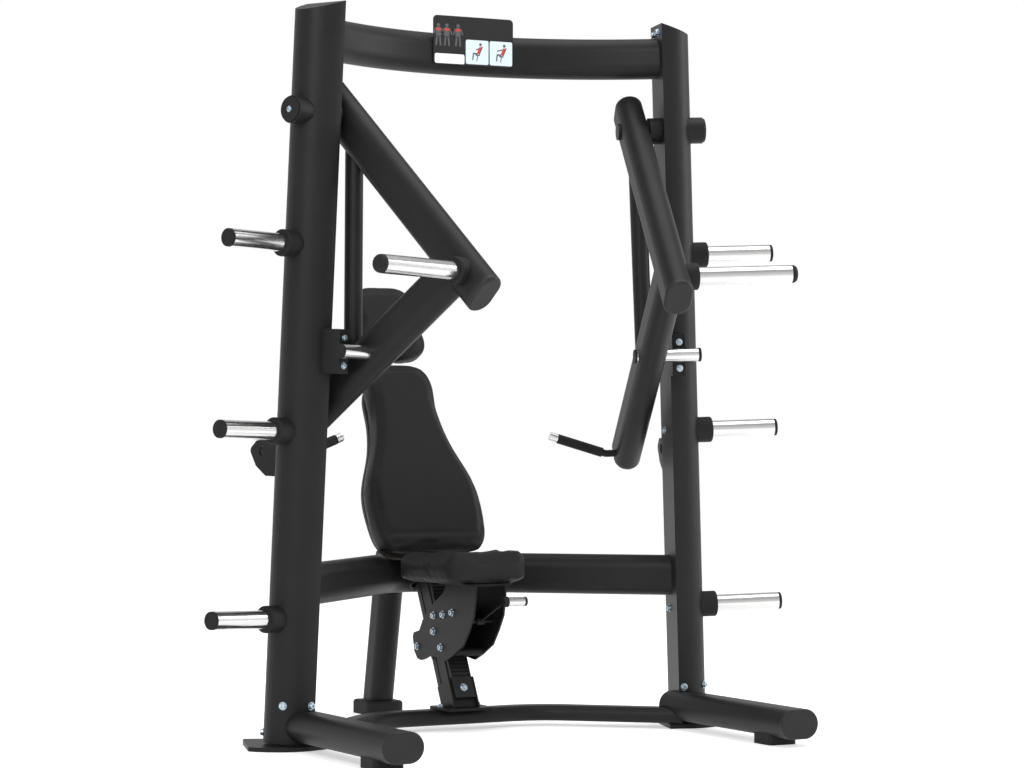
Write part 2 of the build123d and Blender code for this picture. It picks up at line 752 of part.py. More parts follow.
def side_plate(x0):
    face = make_face(Polyline(*PLATE_OUTLINE, PLATE_OUTLINE[0]))
    return extrude(Plane(origin=(x0, 0, 0), x_dir=(0, 1, 0), z_dir=(1, 0, 0)) * face, 6)


def seat_frame():
    """Two side plates, the cross bars between them and the top plate under the board."""
    frame = side_plate(PLATE_X - 6) + side_plate(-PLATE_X)
    for y, z, r in ((138, 228, 12), (346, 232, 11), (PIN_Y, PIN_Z, 5)):
        frame += rod((-PLATE_X + 3, y, z), (PLATE_X - 3, y, z), r)
    frame += extrude(Pos(0, 94, SEAT_PLATE_Z) * Rectangle(150, 164), 6)
    return biggest(frame - strut_barrel())


def carriage_guides():
    """Plastic slides between the side plates and the sides of the post."""
    slides = []
    for side in (-1, 1):
        for up in (24, 106):
            middle = side * (POST_WIDE / 2 + PLATE_X - 6) / 2
            slides.append(post_slab(up, up + 40, 20, 72, (PLATE_X - 6 - POST_WIDE / 2) / 2 - 0.15,
                                    middle + side * 0.15))
    return slides


def carriage_latch():
    """Latch block that bears on the toothed strip."""
    return post_slab(100, 140, -34, -0.6, PLATE_X - 6)


PLATE_BOLTS = ((256, 325), (197, 331), (140, 340), (256, 279), (210, 236), (362, 229))


def carriage_bolts():
    heads = []
    for y, z in PLATE_BOLTS:
        heads.append(bolt((-PLATE_X, y, z), (-1, 0, 0)))
        heads.append(bolt((PLATE_X, y, z), (1, 0, 0)))
    return heads


def seat_board():
    return extrude(Pos(0, 130, BOARD_Z) * RectangleRounded(190, 210, 30), BOARD)


def seat_pad():
    """Pad wider at the back than at the front, with a pocket that takes the board."""
    front = [(-SEAT_FRONT_HALF, SEAT_FRONT), (SEAT_FRONT_HALF, SEAT_FRONT)]
    back = [(SEAT_BACK_HALF, SEAT_BACK), (-SEAT_BACK_HALF, SEAT_BACK)]
    plan = make_face(Polyline(*front, *back, front[0]))
    plan = fillet(plan.vertices(), 52)
    body = extrude(Pos(0, 0, SEAT_LOW) * plan, SEAT_HIGH - SEAT_LOW)
    body = fillet(body.faces().sort_by(Axis.Z)[-1].edges(), 22)
    return body - pad_slab(-6, 200) - seat_board()


def pad_slab(front, back):
    """Everything between two depths behind the back rest's face plane."""
    return extrude(pad_plane(back) * Rectangle(800, 1600), back - front)


# ---------------------------------------------------------------- seat lever

LEVER_KNEE = (31.0, -24.0, 377.0)
TIP_R = 12.5


def knee_at(across):
    """Point beside the lever's knee, towards the user's left."""
    return (LEVER_KNEE[0] + across, LEVER_KNEE[1], LEVER_KNEE[2])


def lever_rod():
    hub = rod((-12, PIN_Y, PIN_Z), (12, PIN_Y, PIN_Z), 10)
    shank = rod((2, PIN_Y, PIN_Z), LEVER_KNEE, 4)
    return hub + shank - rod((-14, PIN_Y, PIN_Z), (40, PIN_Y, PIN_Z), 5.05)


def lever_knob():
    knob = rod(knee_at(-6), knee_at(9), TIP_R + 2.5)
    return [knob - lever_rod(), rod(knee_at(61), knee_at(68), TIP_R + 0.5)]


def lever_tip():
    return rod(knee_at(9), knee_at(61), TIP_R)


# ---------------------------------------------------------------- nodes

def export_frame():
    save("column_right", RIGHT_COLUMN)
    save("column_left", RIGHT_COLUMN.mirror(Plane.YZ))
    save("top_crossbeam", top_crossbeam())
    save("lower_crossbeam", lower_crossbeam())
    save("floor_bar", floor_bar())
    save_all("foot_bars", pair(foot_bar()))
    save_all("foot_bar_caps", pair(foot_cap()))
    save_all("floor_feet", pair(foot_pad()) + [rear_foot()])
    save_all("base_plates", pair(base_plate()))
    save_all("rear_leg", rear_leg())
    save("placard", placard())
    save_all("storage_pegs", both_sides(*[storage_peg(h) for h in PEG_HEIGHTS]))
    save_all("storage_collars", both_sides(*[storage_collar(h) for h in PEG_HEIGHTS]))
    save_all("storage_caps", both_sides(*[peg_cap(h) for h in PEG_HEIGHTS]))
    save_all("frame_bolts", both_sides(*column_bolts()) + post_bolts())
    save_all("stop_blocks", both_sides(stop_block()))
    save_all("lug_plates", both_sides(lug_plate()))
    save_all("pivot_housings", both_sides(pivot_housing()))
    save_all("pivot_bushings", both_sides(*pivot_bushings()))


def pair(solid):
    return [solid, solid.mirror(Plane.YZ)]


def export_rest():
    save("back_pad", back_pad())
    save("head_pad", head_pad())
    save_all("pad_boards", pad_boards())
    save_all("pad_spine", pad_spine())
    save("seat_post", seat_post())
    save("post_rack", post_rack())
    save("post_foot", post_foot())
    save("strut_rod", strut_rod())


def export_carriage():
    save("seat_frame", seat_frame())
    save_all("carriage_bolts", carriage_bolts())
    save_all("carriage_slides", carriage_guides() + [carriage_latch()])
    save("strut_cylinder", strut_cylinder())
    save("seat_board", seat_board())
    save("seat_pad", seat_pad())
    save("lever_rod", lever_rod())
    save_all("lever_caps", lever_knob())
    save("lever_tip", lever_tip())


def arm_pieces():
    return {
        "upper_tube": [upper_tube()],
        "lower_tube": [lower_tube()],
        "brace": [arm_brace()],
        "end_caps": arm_caps(),
        "pivot_shaft": [pivot_shaft()],
        "pivot_bolt": [pivot_bolt()],
        "work_peg": [work_peg()],
        "peg_collar": [work_collar()],
        "rubber_caps": [work_cap()] + stop_caps(),
        "stop_peg": [stop_peg()],
        "handle_bar": [handle_bar()],
        "grip": [grip()],
    }


def export_arms():
    for name, solids in arm_pieces().items():
        right = on_side(*solids)
        save_all(f"right_arm_{name}", right)
        save_all(f"left_arm_{name}", left_of(right))


export_frame()
export_rest()
export_carriage()
export_arms()
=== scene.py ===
import bpy
import json
import math
import numpy as np
from mathutils import Euler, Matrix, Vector


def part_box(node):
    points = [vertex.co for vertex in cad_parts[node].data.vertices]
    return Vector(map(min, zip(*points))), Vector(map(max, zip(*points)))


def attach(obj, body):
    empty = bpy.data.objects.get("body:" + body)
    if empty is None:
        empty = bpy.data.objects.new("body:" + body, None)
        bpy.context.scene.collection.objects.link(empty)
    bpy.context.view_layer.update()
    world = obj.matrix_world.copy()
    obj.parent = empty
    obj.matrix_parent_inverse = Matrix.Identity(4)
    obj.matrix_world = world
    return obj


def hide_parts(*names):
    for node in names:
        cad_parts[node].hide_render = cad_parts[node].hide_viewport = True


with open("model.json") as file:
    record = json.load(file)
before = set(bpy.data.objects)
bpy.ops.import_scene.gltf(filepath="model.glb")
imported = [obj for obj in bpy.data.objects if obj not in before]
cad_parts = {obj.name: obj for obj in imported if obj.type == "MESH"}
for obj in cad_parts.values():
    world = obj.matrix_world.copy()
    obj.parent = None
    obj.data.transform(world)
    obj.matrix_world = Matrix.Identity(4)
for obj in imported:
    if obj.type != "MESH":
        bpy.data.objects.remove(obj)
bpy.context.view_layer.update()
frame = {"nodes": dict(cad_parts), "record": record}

# ------------------------------------------------------------------ driving values, metres and degrees

PAD_LEAN = 26.5
VOXEL = 0.005
PAD_PRESSURE = 4.0
PAD_FRAMES = 20
SMOOTH_TIMES = 12
PAD_SHRINK = 0.006
PAD_CAP = 0.008
SEAT_SHRINK = 0.005
SEAT_CAP = 0.007
SEAT_LEAN = 90.0
FACE_DEPTH = 0.030
FACE_FADE = 0.020
ROLL_IN = 0.013
ROLL_HIGH = 0.0018
SEAM_IN = 0.028
SEAM_DEEP = 0.0016
CROWN_HIGH = 0.0080
CROWN_REACH = 0.10
TUCK_DEEP = 0.0022
TUCK_UP = 0.012
SEAT_DISH = 0.014
SEAT_FALL = 0.008
SEAT_ROLL_HIGH = 0.0060
SEAT_ROLL_IN = 0.034
SEAT_SEAM_DEEP = 0.0025
SEAT_SEAM_IN = 0.052
SEAT_EDGE_DROP = 0.016
SEAT_EDGE_REACH = 0.026
OUTLINE_STEPS = 240
OUTLINE_NEAR = 0.09
BACK_SLICE = 0.0015

GRIP_OVERLAP = 0.004

CAMERA_PLACE = (-3.9627, -7.5445, 0.9178)
CAMERA_TURN = 28.394
CAMERA_PITCH = 0.488
CAMERA_LENS = 105.47
CAMERA_REACH = 60.0

LIGHT_TARGET = (0, 0, 1.0)

PAINT = (0.0105, 0.0105, 0.0107)
BLACK_STEEL = (0.0058, 0.0058, 0.006)
CHROME = (0.66, 0.66, 0.655)
ZINC = (0.42, 0.50, 0.56)
RUBBER = (0.0055, 0.0055, 0.006)
CAP_PLASTIC = (0.011, 0.011, 0.0115)
VINYL = (0.0042, 0.0042, 0.0044)
PLYWOOD = (0.03, 0.026, 0.022)
BRONZE = (0.45, 0.30, 0.14)
PRINT_BLACK = (0.0035, 0.0035, 0.004)
PRINT_WHITE = (0.80, 0.80, 0.80)
PRINT_BLUE = (0.62, 0.72, 0.80)
PRINT_GREY = (0.075, 0.075, 0.08)
PRINT_RED = (0.55, 0.03, 0.02)

PRINT_PROUD = 0.0006
PRINT_LAYER = 0.0001
PRINT_THICK = 0.0004
PRINT_CORNER = 0.005
SEATED_SIZE = 0.066
STANDING_SIZE = 0.064

FLOOR_REACH = 60.0
FLOOR_GLOW = 0.42
HORIZON_GREY = 0.92
OVERHEAD_GREY = 0.52
KEY_POWER = 190
TOP_POWER = 110
SIDE_POWER = 100


# ------------------------------------------------------------------ materials

def new_material(name):
    material = bpy.data.materials.new(name)
    material.use_nodes = True
    nodes = material.node_tree.nodes
    nodes.clear()
    out = nodes.new("ShaderNodeOutputMaterial")
    shader = nodes.new("ShaderNodeBsdfPrincipled")
    material.node_tree.links.new(shader.outputs["BSDF"], out.inputs["Surface"])
    return material, shader


def add(material, kind, **values):
    node = material.node_tree.nodes.new(kind)
    for key, value in values.items():
        if hasattr(node, key):
            setattr(node, key, value)
        else:
            node.inputs[key.replace("_", " ")].default_value = value
    return node


def link(material, source, target):
    material.node_tree.links.new(source, target)


def place(material, stretch=(1, 1, 1)):
    """Object coordinates, stretched: nodes of the frame keep their place in the mesh."""
    where = add(material, "ShaderNodeTexCoord")
    mapping = add(material, "ShaderNodeMapping")
    mapping.inputs["Scale"].default_value = stretch
    link(material, where.outputs["Object"], mapping.inputs["Vector"])
    return mapping.outputs["Vector"]


def noise(material, vector, scale, detail=4.0, roughness=0.55):
    node = add(material, "ShaderNodeTexNoise", Scale=scale, Detail=detail, Roughness=roughness)
    link(material, vector, node.inputs["Vector"])
    return node.outputs["Fac"]


def spread(material, value, low, high, from_low=0.3, from_high=0.7):
    node = add(material, "ShaderNodeMapRange")
    node.inputs["From Min"].default_value = from_low
    node.inputs["From Max"].default_value = from_high
    node.inputs["To Min"].default_value = low
    node.inputs["To Max"].default_value = high
    link(material, value, node.inputs["Value"])
    return node.outputs["Result"]


def tint(material, value, dark, light):
    ramp = add(material, "ShaderNodeValToRGB")
    ramp.color_ramp.elements[0].position = 0.3
    ramp.color_ramp.elements[0].color = (*dark, 1)
    ramp.color_ramp.elements[1].position = 0.7
    ramp.color_ramp.elements[1].color = (*light, 1)
    link(material, value, ramp.inputs["Fac"])
    return ramp.outputs["Color"]


def bump(material, shader, height, distance, strength=1.0, under=None):
    node = add(material, "ShaderNodeBump", Strength=strength, Distance=distance)
    link(material, height, node.inputs["Height"])
    if under is not None:
        link(material, under, node.inputs["Normal"])
    link(material, node.outputs["Normal"], shader.inputs["Normal"])
    return node.outputs["Normal"]


def shade(colour, factor):
    return tuple(min(1.0, c * factor) for c in colour)


def powder_coat(name, colour):
    """Satin powder coat: fine orange peel, faint cloudiness and a finer grain."""
    material, shader = new_material(name)
    vector = place(material)
    clouds = noise(material, vector, 9.0, 3.0)
    link(material, tint(material, clouds, shade(colour, 0.9), shade(colour, 1.12)),
         shader.inputs["Base Color"])
    peel = noise(material, vector, 520.0, 2.0)
    link(material, spread(material, peel, 0.40, 0.50), shader.inputs["Roughness"])
    fine = noise(material, vector, 1500.0, 2.0)
    waves = bump(material, shader, peel, 0.00022, 0.55)
    bump(material, shader, fine, 0.00008, 0.5, under=waves)
    shader.inputs["Specular IOR Level"].default_value = 0.17
    return material


def chrome(name, colour, along):
    """Hard chrome with a faint turned or drawn texture; along is the stretch of the brush lines."""
    material, shader = new_material(name)
    vector = place(material, along)
    lines = noise(material, vector, 900.0, 3.0)
    blur = noise(material, place(material), 14.0, 3.0)
    shader.inputs["Metallic"].default_value = 1.0
    link(material, tint(material, blur, shade(colour, 0.93), colour), shader.inputs["Base Color"])
    link(material, spread(material, lines, 0.13, 0.24), shader.inputs["Roughness"])
    bump(material, shader, lines, 0.00003, 0.35)
    return material


def zinc(name, colour):
    material, shader = new_material(name)
    vector = place(material)
    spots = noise(material, vector, 160.0, 4.0)
    shader.inputs["Metallic"].default_value = 1.0
    link(material, tint(material, spots, shade(colour, 0.75), shade(colour, 1.3)),
         shader.inputs["Base Color"])
    link(material, spread(material, spots, 0.22, 0.42), shader.inputs["Roughness"])
    bump(material, shader, noise(material, vector, 1400.0, 2.0), 0.00004, 0.4)
    return material


def rubber(name, colour):
    """Fine-grained moulded rubber."""
    material, shader = new_material(name)
    vector = place(material)
    grain = noise(material, vector, 900.0, 3.0)
    dust = noise(material, vector, 24.0, 4.0)
    link(material, tint(material, dust, colour, shade(colour, 1.7)), shader.inputs["Base Color"])
    link(material, spread(material, grain, 0.55, 0.72), shader.inputs["Roughness"])
    bump(material, shader, grain, 0.00025, 0.6)
    shader.inputs["Specular IOR Level"].default_value = 0.22
    return material


def moulded(name, colour):
    """Spark-eroded moulded plastic."""
    material, shader = new_material(name)
    vector = place(material)
    spark = noise(material, vector, 1100.0, 2.0, 0.7)
    flow = noise(material, vector, 18.0, 2.0)
    link(material, tint(material, flow, colour, shade(colour, 1.25)), shader.inputs["Base Color"])
    link(material, spread(material, spark, 0.42, 0.55), shader.inputs["Roughness"])
    bump(material, shader, spark, 0.00012, 0.5)
    shader.inputs["Specular IOR Level"].default_value = 0.26
    return material


def vinyl(name, colour):
    """Upholstery vinyl: leather-like cells of about two millimetres with pores between them."""
    material, shader = new_material(name)
    vector = place(material)
    bend = add(material, "ShaderNodeVectorMath", operation="ADD")
    drift = add(material, "ShaderNodeTexNoise", Scale=160.0, Detail=2.0)
    link(material, vector, drift.inputs["Vector"])
    shrink = add(material, "ShaderNodeVectorMath", operation="SCALE")
    shrink.inputs["Scale"].default_value = 0.004
    link(material, drift.outputs["Color"], shrink.inputs[0])
    link(material, vector, bend.inputs[0])
    link(material, shrink.outputs["Vector"], bend.inputs[1])
    cells = add(material, "ShaderNodeTexVoronoi", Scale=480.0)
    cells.feature = "DISTANCE_TO_EDGE"
    link(material, bend.outputs["Vector"], cells.inputs["Vector"])
    grain = spread(material, cells.outputs["Distance"], 0.0, 1.0, 0.0, 0.22)
    wear = noise(material, vector, 7.0, 4.0)
    fine = noise(material, vector, 1700.0, 3.0)
    link(material, tint(material, wear, colour, shade(colour, 1.5)), shader.inputs["Base Color"])
    link(material, spread(material, wear, 0.46, 0.58), shader.inputs["Roughness"])
    coarse = bump(material, shader, grain, 0.00022, 0.75)
    bump(material, shader, fine, 0.00006, 0.5, under=coarse)
    shader.inputs["Specular IOR Level"].default_value = 0.22
    return material


def plywood(name, colour):
    material, shader = new_material(name)
    vector = place(material, (1.0, 12.0, 12.0))
    lines = noise(material, vector, 30.0, 6.0, 0.7)
    link(material, tint(material, lines, shade(colour, 0.6), shade(colour, 1.5)),
         shader.inputs["Base Color"])
    link(material, spread(material, lines, 0.6, 0.8), shader.inputs["Roughness"])
    bump(material, shader, lines, 0.0004, 0.5)
    return material


def print_ink(name, colour):
    """Printed sheet under a satin film."""
    material, shader = new_material(name)
    vector = place(material)
    film = noise(material, vector, 60.0, 3.0)
    dots = noise(material, vector, 1800.0, 2.0)
    link(material, tint(material, dots, shade(colour, 0.94), shade(colour, 1.04)),
         shader.inputs["Base Color"])
    link(material, spread(material, film, 0.26, 0.36), shader.inputs["Roughness"])
    bump(material, shader, film, 0.0002, 0.3)
    return material


MATERIALS = {
    "frame_paint": powder_coat("frame_paint", PAINT),
    "black_steel": powder_coat("black_steel", BLACK_STEEL),
    "chrome": chrome("chrome", CHROME, (0.25, 1.0, 1.0)),
    "zinc": zinc("zinc", ZINC),
    "rubber": rubber("rubber", RUBBER),
    "cap_plastic": moulded("cap_plastic", CAP_PLASTIC),
    "vinyl": vinyl("vinyl", VINYL),
    "board": plywood("board", PLYWOOD),
    "placard": print_ink("placard", PRINT_BLACK),
    "bronze": zinc("bronze", BRONZE),
}
PRINTS = {
    "white": print_ink("print_white", PRINT_WHITE),
    "blue": print_ink("print_blue", PRINT_BLUE),
    "grey": print_ink("print_grey", PRINT_GREY),
    "red": print_ink("print_red", PRINT_RED),
}


def paint_frame():
    slots = {row["node"]: row["material_slot"] for row in frame["record"]["subparts"]}
    for name, thing in frame["nodes"].items():
        thing.data.materials.clear()
        thing.data.materials.append(MATERIALS[slots[name]])


def plate_handle_ends():
    """The bare end of each handle is chromed; the rest of the bar is black."""
    for side in ("left", "right"):
        bar_node = frame["nodes"][f"{side}_arm_handle_bar"]
        low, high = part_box(f"{side}_arm_grip")
        inner = min(abs(low.x), abs(high.x))
        bar_node.data.materials.append(MATERIALS["chrome"])
        for polygon in bar_node.data.polygons:
            if abs(polygon.center.x) < inner + GRIP_OVERLAP:
                polygon.material_index = 1


# ------------------------------------------------------------------ padded upholstery

def mesh_points(thing):
    flat = np.zeros(len(thing.data.vertices) * 3)
    thing.data.vertices.foreach_get("co", flat)
    return flat.reshape(-1, 3)


def set_points(thing, points):
    thing.data.vertices.foreach_set("co", np.asarray(points).ravel())
    thing.data.update()


def pad_axes(lean):
    """Across, up the face, and out of the face, for a pad that leans back."""
    tilt = math.radians(lean)
    return np.array([[1, 0, 0], [0, math.sin(tilt), math.cos(tilt)], [0, -math.cos(tilt), math.sin(tilt)]])


def outline_of(points):
    """The pad's outline, in order round its middle, from the points of its flat back."""
    back = points[points[:, 2] < points[:, 2].min() + BACK_SLICE][:, :2]
    middle = (back.max(0) + back.min(0)) / 2
    angle = np.arctan2(back[:, 1] - middle[1], back[:, 0] - middle[0])
    reach = np.linalg.norm(back - middle, axis=1)
    ring = []
    for i in range(OUTLINE_STEPS):
        a = -math.pi + 2 * math.pi * (i + 0.5) / OUTLINE_STEPS
        gap = np.abs(np.angle(np.exp(1j * (angle - a))))
        near = gap < OUTLINE_NEAR
        if near.any():
            ring.append(back[near][np.argmax(reach[near])])
    return np.array(ring)


def ring_distance(flat, ring):
    """Distance of each flat point from the closed ring."""
    ends = np.roll(ring, -1, axis=0)
    best = np.full(len(flat), 9.0)
    for start, end in zip(ring, ends):
        run = end - start
        size = run @ run
        if size < 1e-12:
            continue
        t = np.clip(((flat - start) @ run) / size, 0, 1)
        gap = np.linalg.norm(flat - (start + t[:, None] * run), axis=1)
        best = np.minimum(best, gap)
    return best


def apply_modifiers(thing):
    graph = bpy.context.evaluated_depsgraph_get()
    mesh = bpy.data.meshes.new_from_object(thing.evaluated_get(graph))
    old = thing.data
    thing.modifiers.clear()
    thing.data = mesh
    bpy.data.meshes.remove(old)


def remesh(thing, voxel):
    modifier = thing.modifiers.new("remesh", "REMESH")
    modifier.mode = "VOXEL"
    modifier.voxel_size = voxel
    apply_modifiers(thing)


def inflate(thing, cap):
    """Swells the cover with cloth pressure; no point moves further than cap."""
    before = mesh_points(thing)
    cloth = thing.modifiers.new("cloth", "CLOTH")
    settings = cloth.settings
    settings.quality = 5
    settings.use_pressure = True
    settings.uniform_pressure_force = PAD_PRESSURE
    settings.effector_weights.gravity = 0
    settings.tension_stiffness = 30
    settings.compression_stiffness = 30
    settings.bending_stiffness = 4
    cloth.collision_settings.use_collision = False
    scene = bpy.context.scene
    for step in range(1, PAD_FRAMES + 1):
        scene.frame_set(step)
    apply_modifiers(thing)
    scene.frame_set(1)
    after = mesh_points(thing)
    move = after - before
    size = np.linalg.norm(move, axis=1, keepdims=True)
    move *= np.minimum(1.0, cap / np.maximum(size, 1e-9))
    set_points(thing, before + move)


def smooth(thing, factor, times):
    modifier = thing.modifiers.new("smooth", "SMOOTH")
    modifier.factor = factor
    modifier.iterations = times
    apply_modifiers(thing)


def bell(x, middle, width):
    """One at middle, falling smoothly to nothing a few widths away."""
    return np.exp(-((x - middle) / width) ** 2)


def make_pad(name, node, lean, shrink, cap, shape):
    """A cloth-covered pad from a CAD solid: shrunk, remeshed, inflated, then sewn by shape()."""
    mesh = frame["nodes"][node].data.copy()
    thing = bpy.data.objects.new(name, mesh)
    bpy.context.scene.collection.objects.link(thing)
    axes = pad_axes(lean)
    local = mesh_points(thing) @ axes.T
    ring = outline_of(local)
    middle = (local.max(0) + local.min(0)) / 2
    half = (local.max(0) - local.min(0)) / 2
    local = middle + (local - middle) * (1 - shrink / half)
    set_points(thing, local @ axes)
    remesh(thing, VOXEL)
    inflate(thing, cap)
    smooth(thing, 0.5, SMOOTH_TIMES)
    local = mesh_points(thing) @ axes.T
    solid = (middle - half, middle + half)
    local = shape(local, ring, solid)
    local = np.clip(local, solid[0] - 0.001, solid[1] + 0.003)
    set_points(thing, local @ axes)
    divide = thing.modifiers.new("subdivision", "SUBSURF")
    divide.levels = 1
    divide.render_levels = 1
    apply_modifiers(thing)
    for polygon in thing.data.polygons:
        polygon.use_smooth = True
    thing.data.materials.clear()
    thing.data.materials.append(MATERIALS["vinyl"])
    return thing


def face_weight(points, solid):
    """One at the pad's face, fading to nothing down its side."""
    return np.clip((points[:, 2] - (solid[1][2] - FACE_DEPTH)) / FACE_FADE, 0, 1)


def backrest_shape(points, ring, solid):
    """A soft rolled edge round the face, a faint sewn line inside it and a crowned middle."""
    inward = ring_distance(points[:, :2], ring)
    front = face_weight(points, solid)
    lift = ROLL_HIGH * bell(inward, ROLL_IN, 0.009) - SEAM_DEEP * bell(inward, SEAM_IN, 0.010)
    lift += CROWN_HIGH * np.clip((inward - SEAM_IN) / CROWN_REACH, 0, 1) ** 0.8
    points[:, 2] += lift * front
    side = bell(points[:, 2], solid[0][2] + TUCK_UP, 0.004)
    centre = (solid[0] + solid[1]) / 2
    outward = points[:, :2] - centre[:2]
    outward /= np.maximum(np.linalg.norm(outward, axis=1, keepdims=True), 1e-6)
    rim = (inward < TUCK_UP).astype(float)
    points[:, :2] -= outward * (TUCK_DEEP * side * rim)[:, None]
    return points


def seat_shape(points, ring, solid):
    """Raised bolsters along the front and both sides, falling to a dished middle and back."""
    inward = ring_distance(points[:, :2], ring)
    top = face_weight(points, solid)
    depth = solid[1][1] - solid[0][1]
    across = np.abs(points[:, 0]) / solid[1][0]
    along = (points[:, 1] - solid[0][1]) / depth
    dish = SEAT_DISH * np.clip(1 - across ** 2, 0, 1) * np.clip(along * 1.8 - 0.1, 0, 1)
    channel = SEAT_SEAM_DEEP * bell(inward, SEAT_SEAM_IN, 0.012)
    roll = SEAT_ROLL_HIGH * bell(inward, SEAT_ROLL_IN, 0.016)
    roll -= SEAT_EDGE_DROP * np.clip(1 - inward / SEAT_EDGE_REACH, 0, 1) ** 2
    fall = SEAT_FALL * np.clip(along - 0.35, 0, 1)
    points[:, 2] += (roll - dish - channel - fall) * top
    return points


def finish_pad(thing, node, body):
    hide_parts(node)
    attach(thing, body)


def upholstery():
    for node in ("back_pad", "head_pad"):
        cover = make_pad(f"{node}_cover", node, PAD_LEAN, PAD_SHRINK, PAD_CAP, backrest_shape)
        finish_pad(cover, node, "base")
    seat = make_pad("seat_pad_cover", "seat_pad", SEAT_LEAN, SEAT_SHRINK, SEAT_CAP, seat_shape)
    finish_pad(seat, "seat_pad", "seat_carriage")


# ------------------------------------------------------------------ placard artwork

def flat_piece(name, outline, y, material):
    """A thin printed shape facing -Y; outline is in X and Z."""
    count = len(outline)
    front = [(x, y, z) for x, z in outline]
    back = [(x, y + PRINT_THICK, z) for x, z in outline]
    faces = [tuple(range(count)), tuple(reversed(range(count, 2 * count)))]
    for i in range(count):
        j = (i + 1) % count
        faces.append((i, count + i, count + j, j))
    mesh = bpy.data.meshes.new(name)
    mesh.from_pydata(front + back, [], faces)
    mesh.materials.append(material)
    thing = bpy.data.objects.new(name, mesh)
    bpy.context.scene.collection.objects.link(thing)
    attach(thing, "base")
    return thing


def round_box(x, z, wide, high, r):
    points = []
    for cx, cz, start in ((1, 1, 0), (-1, 1, 90), (-1, -1, 180), (1, -1, 270)):
        for i in range(5):
            a = math.radians(start + 22.5 * i)
            points.append((x + cx * (wide / 2 - r) + r * math.cos(a),
                           z + cz * (high / 2 - r) + r * math.sin(a)))
    return points


def disc(x, z, r, steps=20):
    return [(x + r * math.cos(2 * math.pi * i / steps), z + r * math.sin(2 * math.pi * i / steps))
            for i in range(steps)]


def bar(x0, z0, x1, z1, wide):
    run = Vector((x1 - x0, z1 - z0))
    side = Vector((-run.y, run.x)).normalized() * wide / 2
    return [(x0 + side.x, z0 + side.y), (x0 - side.x, z0 - side.y),
            (x1 - side.x, z1 - side.y), (x1 + side.x, z1 + side.y)]


def print_parts(tag, parts, y):
    """Prints each (part, outline, ink), the red ones just in front of the grey ones."""
    for part, outline, ink in parts:
        layers = 2 if ink == "red" else 1
        flat_piece(f"print_{tag}_{part}", outline, y - PRINT_LAYER * layers, PRINTS[ink])


def standing_figure(tag, x, z, size, y):
    """A generic figure, seen from the front, with the chest muscles marked."""
    parts = [("head", disc(x, z + 0.42 * size, 0.085 * size), "grey"),
             ("trunk", round_box(x, z + 0.12 * size, 0.26 * size, 0.42 * size, 0.05 * size), "grey"),
             ("chest", round_box(x, z + 0.24 * size, 0.22 * size, 0.10 * size, 0.03 * size), "red")]
    for side in (-1, 1):
        arm = bar(x + side * 0.14 * size, z + 0.30 * size, x + side * 0.24 * size, z + 0.02 * size,
                  0.06 * size)
        leg = bar(x + side * 0.07 * size, z - 0.06 * size, x + side * 0.11 * size, z - 0.48 * size,
                  0.09 * size)
        parts += [(f"arm{side + 1}", arm, "grey"), (f"leg{side + 1}", leg, "grey")]
    print_parts(tag, parts, y)


def seated_figure(tag, x, z, size, y, reach):
    """A generic figure pressing on a seat, seen from the side; reach is how far the arms are out."""
    def limb(x0, z0, x1, z1, wide):
        return bar(x + x0 * size, z + z0 * size, x + x1 * size, z + z1 * size, wide * size)

    parts = (("rest", limb(0.10, -0.10, 0.26, 0.26, 0.05), "grey"),
             ("cushion", limb(-0.08, -0.13, 0.12, -0.13, 0.05), "grey"),
             ("head", disc(x + 0.16 * size, z + 0.34 * size, 0.065 * size), "grey"),
             ("torso", limb(0.03, -0.06, 0.17, 0.24, 0.10), "red"),
             ("thigh", limb(0.02, -0.07, -0.18, -0.05, 0.07), "grey"),
             ("shin", limb(-0.18, -0.04, -0.22, -0.34, 0.06), "grey"),
             ("arm", limb(0.12, 0.18, 0.12 - reach, 0.10, 0.05), "grey"),
             ("post", limb(-0.02, -0.38, 0.02, -0.14, 0.04), "grey"))
    print_parts(tag, parts, y)


def placard_art():
    """Three plain figures, two pale panels with a seated figure in each, and a blank white strip."""
    low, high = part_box("placard")
    wide = high.x - low.x
    tall = high.z - low.z
    x = (low.x + high.x) / 2
    z = (low.z + high.z) / 2
    y = low.y - PRINT_PROUD
    strip = round_box(x - 0.30 * wide, z - 0.385 * tall, 0.37 * wide, 0.20 * tall, PRINT_CORNER)
    flat_piece("print_notice", strip, y, PRINTS["white"])
    level = z - 0.22 * tall
    for i, (side, reach) in enumerate(((0.045, 0.18), (0.345, 0.32))):
        panel = round_box(x + side * wide, level, 0.285 * wide, 0.50 * tall, PRINT_CORNER)
        flat_piece(f"print_panel_{i}", panel, y, PRINTS["blue"])
        seated_figure(f"press_{i}", x + side * wide, level, SEATED_SIZE, y - 2 * PRINT_LAYER, reach)
    for i, side in enumerate((-0.44, -0.335, -0.195)):
        standing_figure(f"muscle_{i}", x + side * wide, z + 0.10 * tall, STANDING_SIZE, y)


# ------------------------------------------------------------------ stage

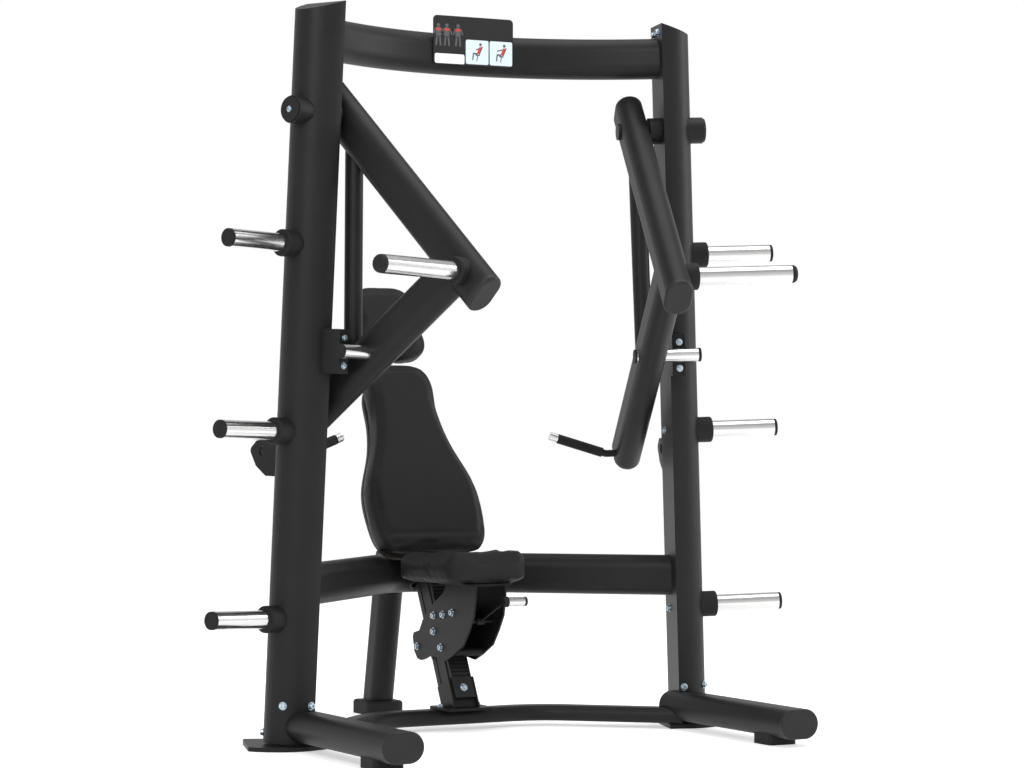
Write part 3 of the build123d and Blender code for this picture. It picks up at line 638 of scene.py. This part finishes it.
def floor():
    """One wide pale floor that glows a little, so its far edge is white like the surroundings."""
    mesh = bpy.data.meshes.new("stage_floor")
    reach = FLOOR_REACH
    corners = [(-reach, -reach, 0), (reach, -reach, 0), (reach, reach, 0), (-reach, reach, 0)]
    mesh.from_pydata(corners, [], [(0, 1, 2, 3)])
    material, shader = new_material("stage_floor")
    shader.inputs["Base Color"].default_value = (0.95, 0.95, 0.95, 1)
    shader.inputs["Roughness"].default_value = 0.9
    shader.inputs["Emission Color"].default_value = (1, 1, 1, 1)
    shader.inputs["Emission Strength"].default_value = FLOOR_GLOW
    mesh.materials.append(material)
    thing = bpy.data.objects.new("stage_floor", mesh)
    bpy.context.scene.collection.objects.link(thing)


def area_light(name, place_at, target, size, power):
    data = bpy.data.lights.new(name, "AREA")
    data.shape = "RECTANGLE"
    data.size, data.size_y = size
    data.energy = power
    thing = bpy.data.objects.new(name, data)
    thing.location = place_at
    thing.rotation_euler = (Vector(target) - Vector(place_at)).to_track_quat("-Z", "Y").to_euler()
    bpy.context.scene.collection.objects.link(thing)


def world_light(world):
    """White seen directly; what lights and reflects is paler at the horizon than overhead."""
    tree = world.node_tree
    seen = tree.nodes["Background"]
    seen.inputs["Color"].default_value = (1, 1, 1, 1)
    lit = tree.nodes.new("ShaderNodeBackground")
    where = tree.nodes.new("ShaderNodeTexCoord")
    split = tree.nodes.new("ShaderNodeSeparateXYZ")
    ramp = tree.nodes.new("ShaderNodeValToRGB")
    ramp.color_ramp.elements[0].position = 0.15
    ramp.color_ramp.elements[0].color = (HORIZON_GREY, HORIZON_GREY, HORIZON_GREY, 1)
    ramp.color_ramp.elements[1].position = 0.7
    ramp.color_ramp.elements[1].color = (OVERHEAD_GREY, OVERHEAD_GREY, OVERHEAD_GREY, 1)
    path = tree.nodes.new("ShaderNodeLightPath")
    mix = tree.nodes.new("ShaderNodeMixShader")
    tree.links.new(where.outputs["Generated"], split.inputs[0])
    tree.links.new(split.outputs["Z"], ramp.inputs["Fac"])
    tree.links.new(ramp.outputs["Color"], lit.inputs["Color"])
    tree.links.new(path.outputs["Is Camera Ray"], mix.inputs["Fac"])
    tree.links.new(lit.outputs["Background"], mix.inputs[1])
    tree.links.new(seen.outputs["Background"], mix.inputs[2])
    tree.links.new(mix.outputs["Shader"], tree.nodes["World Output"].inputs["Surface"])


def studio():
    world = bpy.data.worlds.new("studio")
    bpy.context.scene.world = world
    world.use_nodes = True
    world_light(world)
    bpy.context.scene.view_settings.view_transform = "Standard"
    area_light("key", (-4.2, -4.5, 4.2), LIGHT_TARGET, (2.6, 2.6), KEY_POWER)
    area_light("top", (0.5, -0.5, 5.0), LIGHT_TARGET, (3.5, 3.5), TOP_POWER)
    area_light("side", (5.0, -1.5, 2.5), LIGHT_TARGET, (1.6, 3.4), SIDE_POWER)


def camera():
    data = bpy.data.cameras.new("camera")
    data.lens = CAMERA_LENS
    data.sensor_width = 36.0
    data.clip_end = CAMERA_REACH
    thing = bpy.data.objects.new("camera", data)
    thing.location = CAMERA_PLACE
    thing.rotation_euler = Euler((math.radians(90 + CAMERA_PITCH), 0, -math.radians(CAMERA_TURN)))
    bpy.context.scene.collection.objects.link(thing)
    bpy.context.scene.camera = thing


paint_frame()
plate_handle_ends()
upholstery()
placard_art()
floor()
studio()
camera()
